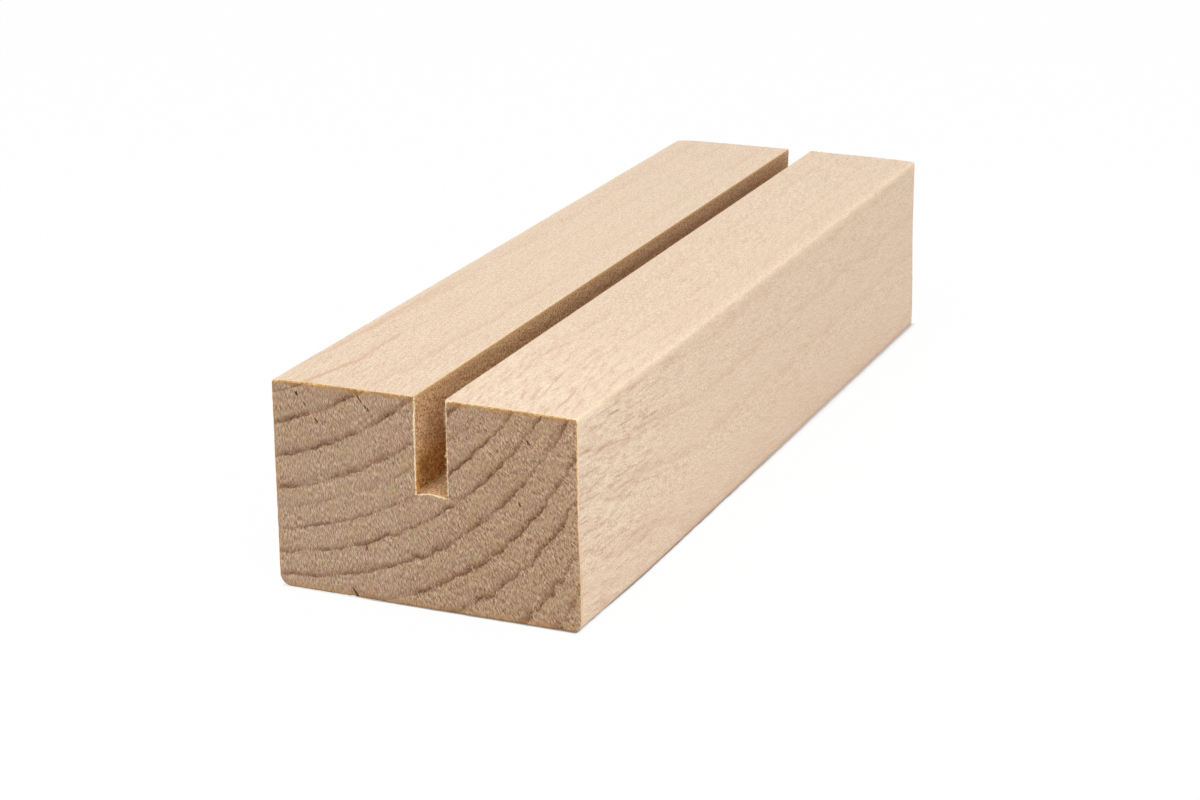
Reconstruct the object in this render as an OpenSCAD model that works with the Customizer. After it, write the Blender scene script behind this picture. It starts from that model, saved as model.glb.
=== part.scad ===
// Photo block: a length of square-cut beech with a slot sawn along its top.
// A photo, card or thin panel stands in the slot.
// X runs across the block, Y along its length and Z up.
// The origin is the middle of the underside.

/* [Block] */
// Length of the block, along the grain
block_l = 100; // [60:1:200]
// Width of the block
block_w = 30; // [26:0.5:60]
// Height of the block
block_h = 20; // [14:0.5:40]

/* [Slot] */
// Width of the slot, which is the width of the saw's cut
slot_w = 3.05; // [1.6:0.05:6]
// Depth of the slot, measured down to its floor's low corners
slot_d = 9.2; // [3:0.1:12]
// Wood left between the block's long left side and the slot
left_cheek_w = 14.35; // [6:0.05:18]
// Height of the low ridge that bevelled saw teeth leave on the slot's floor
floor_ridge_h = 0.3; // [0.1:0.05:0.5]
// Place of that ridge, measured from the slot's left wall
floor_ridge_x = 1.3; // [0.6:0.1:1.5]

/* [Edges] */
// Radius sanded on the long edges
long_edge_r = 0.3; // [0.1:0.05:1]
// Radius of the lower left long edge, which is more worn
worn_edge_r = 0.8; // [0.1:0.05:2]
// Chamfer sanded on the four outer edges of each end face
end_edge_c = 0.2; // [0.1:0.05:0.5]

/* [Hidden] */
$fn = 64;

beech = [0.87, 0.76, 0.63];

left_x = -block_w / 2;
right_x = block_w / 2;
slot_left_x = left_x + left_cheek_w;
slot_floor_z = block_h - slot_d;
// How far a cutting shape runs past the face that it cuts
past = 1;

// What rounding takes off a square corner of the outline. side_x and side_z
// are 1 or -1 and point from the corner into the wood.
module corner_waste(corner_x, corner_z, side_x, side_z, r) {
    translate([corner_x, corner_z])
        mirror([side_x < 0 ? 1 : 0, 0])
            mirror([0, side_z < 0 ? 1 : 0])
                difference() {
                    translate([-past, -past])
                        square(r + past);
                    translate([r, r])
                        circle(r);
                }
}

// The slot seen along its length, open at the top, with the ridge on its floor
module slot_outline() {
    translate([slot_left_x, slot_floor_z])
        polygon([
            [0, 0],
            [floor_ridge_x, floor_ridge_h],
            [slot_w, 0],
            [slot_w, slot_d + past],
            [0, slot_d + past]
        ]);
}

// The end of the block seen along its length: four rounded corners and the slot
module end_outline() {
    difference() {
        translate([left_x, 0])
            square([block_w, block_h]);
        corner_waste(left_x, 0, 1, 1, worn_edge_r);
        corner_waste(right_x, 0, -1, 1, long_edge_r);
        corner_waste(left_x, block_h, 1, -1, long_edge_r);
        corner_waste(right_x, block_h, -1, -1, long_edge_r);
        slot_outline();
    }
}

// What a chamfer takes off a square edge. The edge lies at the origin, and the
// wood lies toward positive X and Y.
module chamfer_waste(length) {
    linear_extrude(height = length, center = true)
        polygon([
            [-past, -past],
            [end_edge_c + past, -past],
            [-past, end_edge_c + past]
        ]);
}

// The four chamfers of the end face at the block's low Y end
module end_chamfers() {
    for (top = [0, 1])
        translate([0, -block_l / 2, top * block_h])
            mirror([0, 0, top])
                rotate([90, 0, 90])
                    chamfer_waste(block_w + 2 * past);
    for (right = [0, 1])
        translate([right == 1 ? right_x : left_x, -block_l / 2, block_h / 2])
            mirror([right, 0, 0])
                chamfer_waste(block_h + 2 * past);
}

module block() {
    color(beech)
        difference() {
            rotate([90, 0, 0])
                linear_extrude(height = block_l, center = true)
                    end_outline();
            end_chamfers();
            mirror([0, 1, 0])
                end_chamfers();
        }
}

block();
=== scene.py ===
import math
import random

import bpy
from mathutils import Matrix, Vector, noise


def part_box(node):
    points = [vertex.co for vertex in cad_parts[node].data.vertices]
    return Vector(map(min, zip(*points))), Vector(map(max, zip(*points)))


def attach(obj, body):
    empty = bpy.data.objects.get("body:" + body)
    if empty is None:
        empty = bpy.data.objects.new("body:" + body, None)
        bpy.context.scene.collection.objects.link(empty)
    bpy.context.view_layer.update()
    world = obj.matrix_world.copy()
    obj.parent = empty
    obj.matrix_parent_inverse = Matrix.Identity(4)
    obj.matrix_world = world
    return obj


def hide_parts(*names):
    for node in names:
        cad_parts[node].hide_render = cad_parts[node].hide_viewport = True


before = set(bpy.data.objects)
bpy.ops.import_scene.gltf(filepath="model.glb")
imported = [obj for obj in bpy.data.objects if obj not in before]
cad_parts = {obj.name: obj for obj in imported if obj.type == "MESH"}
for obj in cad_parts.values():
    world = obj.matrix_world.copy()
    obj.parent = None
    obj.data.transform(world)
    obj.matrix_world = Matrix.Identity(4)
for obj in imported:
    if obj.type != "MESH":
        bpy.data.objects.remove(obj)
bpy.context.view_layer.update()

# One mm in metres, and a length in mm that counts as nothing
MM = 0.001
TINY = 1e-6

# Sizes of the block in mm, read from the frame
low_corner, high_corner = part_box("block")
LEFT, FRONT, BOTTOM = [v / MM for v in low_corner]
RIGHT, BACK, TOP = [v / MM for v in high_corner]

# Between these shares of the height, the slot has the only corners
SLOT_SHARES = (0.3, 0.7)


def slot_corners():
    """The X of the slot's left wall, ridge and right wall, and the Z of its floor and ridge."""
    places = [v.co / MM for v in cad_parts["block"].data.vertices]
    inner = [p for p in places if SLOT_SHARES[0] * TOP < p.z < SLOT_SHARES[1] * TOP]
    across = sorted({round(p.x, 3) for p in inner})
    levels = sorted({round(p.z, 3) for p in inner})
    return across[0], across[1], across[-1], levels[0], levels[-1]


SLOT_LEFT, RIDGE_X, SLOT_RIGHT, FLOOR, RIDGE_Z = slot_corners()

# Rounding of the edges, in mm
LONG_EDGE = 0.3
WORN_EDGE = 1.15
SLOT_EDGE = 0.08
END_EDGE = 0.16
SLOT_END_EDGE = 0.1
# The lower right edge is rounder by the photographed end, and like the others from this
# many mm along
LOWER_RIGHT_EDGE = 0.95
ROUNDER_UNTIL = 16
# The upper right edge has this share of the others' rounding
UPPER_RIGHT_SHARE = 0.7
# How uneven the arrises of an end are, in mm, and the slot's share of it
END_UNEVEN = 0.07
SLOT_UNEVEN_SHARE = 0.4
# The random waves in the long edges' rounding, as a share of it, and in the ends', as a
# share of END_UNEVEN: height, size in mm, and seed
LONG_WAVES = ((0.25, 3.0, 1.0), (0.2, 0.7, 2.0))
END_WAVES = ((1.0, 0.5, 3.0), (0.8, 0.17, 5.0))
# A point within this many mm of an outer edge takes that edge's own rounding
BY_EDGE = 2
# How far the real block is from square, in mm: the rise of the top over each cheek and
# its drop at the outer edges, the rise of the slot's right rim, how far that rim leans
# over the slot by the photographed end and for each mm from it, and how far the foot of
# the right side comes out
LEFT_CROWN = 0.12
LEFT_DROP = 0.2
RIGHT_CROWN = 0.09
RIGHT_DROP = 0.17
RIM_RISE = 0.08
RIM_OVER = 0.04
RIM_LEAN = 0.0015
FOOT_OUT = 0.22
# How sharply each cheek's top drops: a power of the share of the way to the outer edge
LEFT_DROP_POWER = 10
RIGHT_DROP_POWER = 4
# The slot's walls, in mm: how far the left one stands back at the floor, how far it comes
# in again toward the rim, and how far the right one stands over the floor
LEFT_WALL_BACK = 0.06
LEFT_WALL_IN = 0.08
RIGHT_WALL_IN = 0.02
# How far these changes reach, in mm: the rim's rise over the top, a wall's lean and the
# foot's into the wood, and the ridge's below the slot's floor
RISE_REACH = 1.5
LEAN_REACH = 2
FOOT_REACH = 2
RIDGE_REACH = 2
# The foot starts to come out at the first height, and is all the way out at the second
FOOT_START = 13
FOOT_FULL = 2
# Distance in mm that keeps the pale band and its painted glow off the left and lower arrises of an end
LESS_TORN_GLOW = 0.14

# Spacing of the mesh in mm: places near each edge, then even steps between them
EDGE_STEPS = [0.04, 0.09, 0.14, 0.2, 0.28, 0.4, 0.6, 0.85]
ACROSS_STEP = 0.24
UPRIGHT_STEP = 0.3
ALONG_STEP = 1.7
SLOT_STEPS = 14

# Nicks in the photographed end's lower arris, in mm: place across, width, height, depth
LOWER_NICKS = [
    (-11.0, 0.35, 0.12, 0.15),
    (-8.2, 0.4, 0.15, 0.2),
    (-7.4, 0.3, 0.75, 0.3),
    (6.4, 0.45, 0.14, 0.2),
    (13.1, 0.5, 0.2, 0.25),
]
# Chips in its upper arris, in the same order
UPPER_CHIPS = [
    (-11.1, 0.55, 0.12, 0.5),
    (-8.05, 0.4, 0.12, 0.45),
    (-1.9, 0.3, 0.08, 0.25),
    (6.1, 0.4, 0.1, 0.3),
]
# How far both lean aside for each mm of height, and the shares of their depth and height
# by which they move the arris
NICK_SLANT = 0.3
NICK_IN = 0.8
NICK_UP = 0.5

# The tree: the middle of its rings as seen on the front end, and how the grain leans
# for each mm along the block
PITH_X = -18.1
PITH_Z = 38.1
RING_LEAN_X = 0.012
RING_LEAN_Z = 0.01
FIBRE_LEAN_X = 0.12
FIBRE_LEAN_Z = 0.1
# How far from round the rings are, in mm: by height squared, width times height, and
# width squared, all counted from the middle of the end
RING_BENDS = (-1.66, 3.08, -1.39)
# The rings swell outward behind the photographed end, then level off: where each swell
# starts and ends along the block, and how far it goes, in mm
RING_SWELLS = ((0, 9, 0.95), (13, 30, 0.7))
# Waves of a ring line: size and reach in mm
RING_WAVES = ((6.0, 0.1), (1.8, 0.18))
# Between two rays a ring bulges, and each small bundle of fibres steps a little: size
# around, size outward and reach in mm
RING_STEPS = ((1.0, 4.0, 0.3), (0.2, 1.2, 0.12))
# Size of these steps along the block
RING_STEP_LENGTH = 12.0
# Distance in mm from the middle of the tree to where each year's growth ends, counted
# after the bends and swells above
RING_ENDS = [
    3.5, 7.8, 11.9, 14.4, 19.0, 23.5, 27.7, 29.9, 32.4, 34.9, 37.3, 39.5,
    41.2, 42.9, 43.8, 45.2, 46.8, 48.5, 50.2, 52.0,
]
# The place in this list of the one ring line that is fainter than the others
FAINT_RING = 7

# Distances around the tree are measured on a circle of this radius in mm
AROUND_AT = 34.0
# The rays bend from side to side: size and reach in mm
RAY_BEND = (9.0, 0.35)
# Usual length of a ray in mm, outward from the middle of the tree
RAY_LENGTH = 9.0

# How much larger a fleck's soft edge is than the dark part that its row gives
FLECK_SPREAD = 1.6
# Dark flecks by the photographed end, in mm. On the top, each runs from one place across
# and along the block to another, and has a width and a strength.
TOP_FLECKS = [
    (-11.6, 0.0, -9.95, 7.8, 0.4, 0.75),
    (-9.9, 7.0, -10.2, 14.4, 0.36, 0.5),
    (9.5, 5.7, 8.85, 10.8, 0.15, 0.8),
    (12.2, 2.4, 12.0, 6.0, 0.16, 1.0),
    (12.35, 7.6, 11.9, 10.1, 0.17, 0.65),
    (8.2, 3.3, 7.4, 6.1, 0.14, 0.5),
    (5.8, 3.5, 5.4, 5.6, 0.13, 0.45),
    (4.7, 6.6, 4.4, 8.2, 0.13, 0.4),
    (4.8, 13.6, 5.6, 19.4, 0.3, 0.5),
    (9.2, 16.6, 9.0, 19.2, 0.2, 0.4),
    (9.2, 12.6, 9.0, 14.6, 0.16, 0.35),
    (-2.4, 7.4, -2.6, 10.6, 0.18, 0.35),
    (-5.6, 4.0, -5.9, 5.4, 0.14, 0.35),
    (-6.4, 8.0, -6.8, 12.0, 0.2, 0.25),
    (-3.5, 12.0, -3.0, 17.4, 0.25, 0.25),
    (-13.8, 13.0, -13.6, 34.0, 0.6, 0.3),
]
# On the right side, each runs from one height and place along the block to another
SIDE_FLECKS = [
    (18.1, 3.2, 17.7, 5.8, 0.14, 0.5),
    (18.1, 7.4, 18.0, 9.0, 0.15, 0.9),
    (18.0, 10.9, 17.9, 12.0, 0.14, 0.5),
    (17.3, 13.2, 17.1, 14.4, 0.16, 0.5),
    (16.4, 9.4, 16.2, 11.6, 0.15, 0.8),
    (16.6, 0.9, 16.4, 2.4, 0.15, 0.6),
    (15.6, 4.8, 15.45, 6.9, 0.14, 0.6),
    (15.3, 7.3, 14.75, 10.4, 0.15, 0.6),
    (15.2, 15.0, 14.95, 18.3, 0.2, 0.7),
    (14.7, 13.9, 14.5, 16.0, 0.16, 0.5),
    (14.3, 1.8, 14.1, 4.4, 0.15, 0.7),
    (12.9, 4.4, 12.8, 6.0, 0.14, 0.6),
    (12.4, 7.1, 12.2, 9.4, 0.14, 0.45),
    (12.1, 0.1, 11.6, 4.4, 0.15, 0.65),
    (11.6, 6.4, 11.55, 7.5, 0.13, 0.45),
    (11.7, 9.4, 11.3, 13.8, 0.18, 0.65),
    (10.1, 0.2, 10.0, 2.4, 0.15, 0.7),
    (8.6, 4.9, 8.5, 7.4, 0.15, 0.6),
    (8.7, 7.9, 8.65, 9.1, 0.14, 0.45),
    (7.0, 0.9, 7.1, 4.8, 0.16, 0.55),
    (6.25, 4.4, 6.2, 5.6, 0.14, 0.5),
    (6.2, 8.1, 6.1, 9.8, 0.15, 0.5),
    (4.9, 8.6, 5.0, 12.8, 0.16, 0.45),
    (3.1, 8.4, 3.1, 11.0, 0.15, 0.55),
    (3.8, 13.6, 3.7, 14.8, 0.2, 0.4),
    (7.9, 22.5, 7.7, 23.7, 0.4, 0.35),
]
# Open pores on the photographed end: from one place across and height to another, width
# and strength
END_PORES = [
    (-12.5, 19.05, -12.4, 18.75, 0.19, 1.0),
    (-11.75, 18.15, -11.6, 17.85, 0.16, 0.9),
    (-10.65, 16.75, -10.45, 16.4, 0.17, 1.0),
    (-6.35, 19.5, -5.95, 18.9, 0.12, 1.0),
    (-5.62, 18.65, -5.5, 18.35, 0.14, 0.8),
    (-5.35, 18.4, -5.25, 18.15, 0.14, 0.9),
    (10.2, 17.4, 10.4, 17.05, 0.18, 0.9),
    (9.35, 11.55, 9.45, 11.2, 0.17, 0.9),
    (-5.9, 5.3, -5.8, 4.85, 0.16, 0.8),
    (-7.35, 0.75, -6.9, 0.1, 0.22, 1.0),
    (13.35, 0.35, 13.15, 0.0, 0.2, 0.8),
]

# Pale rays that stand out on it, in the same order
END_RAYS = [
    (-12.65, 18.65, -12.0, 17.9, 0.07, 0.6),
    (-11.95, 17.95, -11.2, 17.1, 0.08, 0.4),
    (-11.2, 17.2, -10.55, 16.45, 0.09, 0.9),
    (-12.2, 18.5, -11.2, 17.3, 0.05, 0.5),
    (-6.65, 19.6, -6.1, 18.95, 0.09, 0.8),
    (-5.9, 18.75, -5.6, 18.35, 0.07, 0.4),
    (-10.7, 16.3, -10.2, 15.5, 0.07, 0.5),
    (-8.4, 16.2, -8.1, 15.2, 0.08, 0.5),
    (10.9, 17.3, 11.5, 16.7, 0.09, 0.6),
]

# Mesh of the block

def graded(start, end, step):
    """Places from start to end: close together by both ends and even in between."""
    low = [start] + [start + s for s in EDGE_STEPS]
    high = [end - s for s in reversed(EDGE_STEPS)] + [end]
    count = max(1, round((high[0] - low[-1]) / step))
    return low[:-1] + even(low[-1], high[0], count) + high[1:]


def even(start, end, count):
    return [start + (end - start) * i / count for i in range(count + 1)]


def wander(x, y, z, size, seed):
    """A smooth random value from -1 to 1 that changes over a distance of size mm."""
    return noise.noise(Vector((x, y, z)) / size + Vector((seed, 2.7 * seed, -1.3 * seed)))


def waves(x, y, z, rows):
    return sum(height * wander(x, y, z, size, seed) for height, size, seed in rows)


def nearness(distance, reach):
    """1 at no distance, and 0 from reach on."""
    return max(0.0, 1 - distance / reach)


def into_edge(value, low, high, low_reach, high_reach):
    """How far a value lies into the rounding at either end of its range, from -1 to 1."""
    if value < low + low_reach:
        return (value - low) / low_reach - 1
    if value > high - high_reach:
        return 1 - (high - value) / high_reach
    return 0.0


def rounded(place, into, reach):
    """Moves a point near a square edge or corner to where it lies on the rounded one."""
    size = math.sqrt(sum(u * u for u in into))
    if size < TINY:
        return place
    shift = max(abs(u) for u in into) / size - 1
    return [p + shift * u * r for p, u, r in zip(place, into, reach)]


def over_slot(x):
    return SLOT_LEFT + TINY < x < SLOT_RIGHT - TINY


def room_at(x, z):
    """The wood round a point of the section: the X of its left and right sides, the Z of
    its top, and for each of the three whether it is the slot's."""
    if over_slot(x):
        return LEFT, RIGHT, FLOOR, False, False, True
    if z < FLOOR - TINY:
        return LEFT, RIGHT, TOP, False, False, False
    if x < RIDGE_X:
        return LEFT, SLOT_LEFT, TOP, False, True, False
    return SLOT_RIGHT, RIGHT, TOP, True, False, False


def floor_rise(x, z):
    """How far the ridge on the slot's floor lifts a point of the section."""
    if not over_slot(x):
        return 0.0
    if x < RIDGE_X:
        share = (x - SLOT_LEFT) / (RIDGE_X - SLOT_LEFT)
    else:
        share = (SLOT_RIGHT - x) / (SLOT_RIGHT - RIDGE_X)
    height = (RIDGE_Z - FLOOR) * math.sin(0.5 * math.pi * share)
    return height * nearness(FLOOR - z, RIDGE_REACH)


def with_long_edges(x, y, z):
    """Rounds the edges that run along the block."""
    left, right, roof, slot_left, slot_right, slot_roof = room_at(x, z)
    if slot_roof:
        return [x, y, z]
    uneven = 1 + waves(x, y, z, LONG_WAVES)
    low_reach = (SLOT_EDGE if slot_left else LONG_EDGE) * uneven
    high_reach = (SLOT_EDGE if slot_right else LONG_EDGE) * uneven
    if x < LEFT + BY_EDGE and z < BOTTOM + BY_EDGE:
        low_reach = WORN_EDGE
    if x > RIGHT - BY_EDGE and z < BOTTOM + BY_EDGE:
        rounder = nearness(y - FRONT, ROUNDER_UNTIL)
        high_reach = LONG_EDGE + (LOWER_RIGHT_EDGE - LONG_EDGE) * rounder
    if x > RIGHT - BY_EDGE and z > TOP - BY_EDGE:
        high_reach *= UPPER_RIGHT_SHARE
    into_x = into_edge(x, left, right, low_reach, high_reach)
    reach = low_reach if into_x < 0 else high_reach
    into_z = into_edge(z, BOTTOM, roof, reach, reach)
    return rounded([x, y, z], [into_x, 0.0, into_z], [reach, 1.0, reach])


def with_end_edges(place, x, y, z):
    """Rounds the arris round each end, unevenly, as a saw and a little sanding leave it.
    x, y and z are the point's place on the square block."""
    left, right, roof, slot_left, slot_right, slot_roof = room_at(x, z)
    uneven = END_UNEVEN * waves(x, y, z, END_WAVES)
    outer = END_EDGE + uneven
    inner = SLOT_END_EDGE + SLOT_UNEVEN_SHARE * uneven
    low_reach = inner if slot_left else outer
    high_reach = inner if slot_right else outer
    roof_reach = inner if slot_roof else outer
    into_x = into_edge(x, left, right, low_reach, high_reach)
    into_z = into_edge(z, BOTTOM, roof, outer, roof_reach)
    reach_x = low_reach if into_x < 0 else high_reach
    reach_z = outer if into_z < 0 else roof_reach
    reach_y = max(reach_x if into_x else 0.0, reach_z if into_z else 0.0)
    if reach_y == 0:
        return place
    into_y = into_edge(y, FRONT, BACK, reach_y, reach_y)
    if into_y == 0:
        return place
    return rounded(place, [into_x, into_y, into_z], [reach_x, reach_y, reach_z])


def with_nicks(x, y, z):
    """Takes small bites out of the photographed end's lower and upper arrises."""
    for rows, edge, inward in ((LOWER_NICKS, BOTTOM, 1), (UPPER_CHIPS, TOP, -1)):
        level = inward * (z - edge)
        for middle, width, height, depth in rows:
            aside = (x - middle + NICK_SLANT * level) / (width / 2)
            if abs(aside) < 1 and level < height and y - FRONT < depth:
                bite = (1 - aside * aside) * (1 - level / height) * (1 - (y - FRONT) / depth)
                y += NICK_IN * bite * depth
                z += NICK_UP * bite * height * inward
    return x, y, z


def out_of_true(x, y, z):
    """Moves a point by how far the real block is from a square one: its top is a little
    crowned, its slot's walls lean, and its right side comes out at the foot."""
    share_up = min(1.0, max(0.0, (z - FLOOR) / (TOP - FLOOR)))
    if x < RIDGE_X:
        rise = LEFT_CROWN - LEFT_DROP * (x / RIGHT) ** LEFT_DROP_POWER
    else:
        by_slot = nearness(abs(x - SLOT_RIGHT), RISE_REACH)
        rise = RIGHT_CROWN - RIGHT_DROP * (x / RIGHT) ** RIGHT_DROP_POWER + RIM_RISE * by_slot
    left_lean = LEFT_WALL_IN * share_up ** 4 - LEFT_WALL_BACK
    right_lean = RIGHT_WALL_IN + (RIM_OVER + RIM_LEAN * (y - FRONT)) * share_up ** 2
    aside = left_lean * nearness(abs(x - SLOT_LEFT), LEAN_REACH)
    aside -= right_lean * nearness(abs(x - SLOT_RIGHT), LEAN_REACH)
    low = min(1.0, max(0.0, (FOOT_START - z) / (FOOT_START - FOOT_FULL)))
    aside += FOOT_OUT * low * low * (3 - 2 * low) * nearness(RIGHT - x, FOOT_REACH)
    return x + aside, y, z + rise * share_up


def surface_place(x, y, z):
    """Where a point on the surface of the square block lies on the real one."""
    place = with_long_edges(x, y, z + floor_rise(x, z))
    place = with_end_edges(place, x, y, z)
    return out_of_true(*with_nicks(*place))


def from_arris(x, y, z):
    """Distance over the surface from a point to the nearest edge of an end."""
    left, right, roof = room_at(x, z)[:3]
    to_end = min(y - FRONT, BACK - y)
    if to_end > TINY:
        return to_end
    from_left = x - left + (LESS_TORN_GLOW if left == LEFT else 0.0)
    return min(from_left, right - x, z - BOTTOM + LESS_TORN_GLOW, roof - z)


END_GRAIN, LONG_GRAIN, SAWN_SLOT = range(3)

# The flat map. For each side of the block: the corner of its place on a square map of
# MAP_SIDE pixels, its pixels for each mm, and the directions that run across and up it
MAP_SIDE = 1024
SHEETS = {
    "front": (4, 4, 14, "xz"),
    "back": (430, 4, 14, "xz"),
    "top": (4, 290, 9, "yx"),
    "right": (4, 566, 8, "yz"),
    "left": (4, 732, 7, "yz"),
    "bottom": (4, 878, 4.6, "yx"),
    "slot left": (470, 824, 5, "yz"),
    "slot right": (470, 875, 5, "yz"),
    "slot floor": (470, 920, 5, "yx"),
}


def on_flat_map(side, x, y, z):
    """The place on the flat map of a point on one side of the square block."""
    corner_across, corner_up, scale, ways = SHEETS[side]
    from_corner = {"x": x - LEFT, "y": y - FRONT, "z": z - BOTTOM}
    across = corner_across + scale * from_corner[ways[0]]
    up = corner_up + scale * from_corner[ways[1]]
    return across / MAP_SIDE, up / MAP_SIDE


class BlockMesh:
    """The block's skin, made from the faces of a square grid that lie on its surface."""

    def __init__(self):
        above = graded(FLOOR, TOP, UPRIGHT_STEP)
        self.across = (
            graded(LEFT, SLOT_LEFT, ACROSS_STEP)
            + even(SLOT_LEFT, SLOT_RIGHT, SLOT_STEPS)[1:-1]
            + graded(SLOT_RIGHT, RIGHT, ACROSS_STEP)
        )
        self.along = graded(FRONT, BACK, ALONG_STEP)
        self.upright = graded(BOTTOM, FLOOR, UPRIGHT_STEP) + above[1:]
        self.wall_left = self.across.index(SLOT_LEFT)
        self.wall_right = self.across.index(SLOT_RIGHT)
        self.floor = len(self.upright) - len(above)
        self.numbers = {}
        self.places = []
        self.arris = []
        self.faces = []
        self.looks = []
        self.corners = []

    def place(self, i, j, k):
        return self.across[i], self.along[j], self.upright[k]

    def point(self, corner):
        """The number of the point at a corner of the grid, which is added if it is new."""
        if corner not in self.numbers:
            self.numbers[corner] = len(self.places)
            self.places.append(surface_place(*self.place(*corner)))
            self.arris.append(from_arris(*self.place(*corner)))
        return self.numbers[corner]

    def face(self, corners, side, look, flip):
        if flip:
            corners = corners[::-1]
        self.faces.append([self.point(corner) for corner in corners])
        self.looks.append(look)
        self.corners += [on_flat_map(side, *self.place(*corner)) for corner in corners]

    def in_slot(self, i, k):
        return self.wall_left <= i < self.wall_right and k >= self.floor

    def end(self, side, j, flip):
        for i in range(len(self.across) - 1):
            for k in range(len(self.upright) - 1):
                if not self.in_slot(i, k):
                    ring = [(i, j, k), (i + 1, j, k), (i + 1, j, k + 1), (i, j, k + 1)]
                    self.face(ring, side, END_GRAIN, flip)

    def level(self, side, k, low, high, look, flip):
        for i in range(low, high):
            for j in range(len(self.along) - 1):
                ring = [(i, j, k), (i + 1, j, k), (i + 1, j + 1, k), (i, j + 1, k)]
                self.face(ring, side, look, flip)

    def wall(self, side, i, low, high, look, flip):
        for k in range(low, high):
            for j in range(len(self.along) - 1):
                ring = [(i, j, k), (i, j + 1, k), (i, j + 1, k + 1), (i, j, k + 1)]
                self.face(ring, side, look, flip)

    def add_sides(self):
        last_x = len(self.across) - 1
        last_z = len(self.upright) - 1
        self.end("front", 0, False)
        self.end("back", len(self.along) - 1, True)
        self.level("top", last_z, 0, self.wall_left, LONG_GRAIN, False)
        self.level("top", last_z, self.wall_right, last_x, LONG_GRAIN, False)
        self.wall("right", last_x, 0, last_z, LONG_GRAIN, False)
        self.wall("left", 0, 0, last_z, LONG_GRAIN, True)
        self.level("bottom", 0, 0, last_x, LONG_GRAIN, True)
        self.wall("slot left", self.wall_left, self.floor, last_z, SAWN_SLOT, False)
        self.wall("slot right", self.wall_right, self.floor, last_z, SAWN_SLOT, True)
        self.level("slot floor", self.floor, self.wall_left, self.wall_right, SAWN_SLOT, False)


def new_piece(name, places, faces):
    """A new object in the scene, with a mesh of places in mm."""
    mesh = bpy.data.meshes.new(name)
    mesh.from_pydata([Vector(p) * MM for p in places], [], faces)
    piece = bpy.data.objects.new(name, mesh)
    bpy.context.scene.collection.objects.link(piece)
    return piece


def make_block():
    made = BlockMesh()
    made.add_sides()
    piece = new_piece("photo_block", made.places, made.faces)
    mesh = piece.data
    mesh.polygons.foreach_set("material_index", made.looks)
    mesh.polygons.foreach_set("use_smooth", [True] * len(made.faces))
    flat_map = mesh.uv_layers.new(name="OFBake")
    flat_map.data.foreach_set("uv", [value for corner in made.corners for value in corner])
    edge = mesh.attributes.new("from_arris", "FLOAT", "POINT")
    edge.data.foreach_set("value", made.arris)
    mesh.update()
    for make in (end_grain, long_grain, sawn_slot):
        mesh.materials.append(make())
    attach(piece, "root")
    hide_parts("block")


# Wiring of materials

def paint(colour):
    """A colour given as a screen shows it, from 0 to 255, as a shader takes it."""
    shares = [value / 255 for value in colour]
    linear = [s / 12.92 if s <= 0.04045 else ((s + 0.055) / 1.055) ** 2.4 for s in shares]
    return *linear, 1.0


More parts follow.
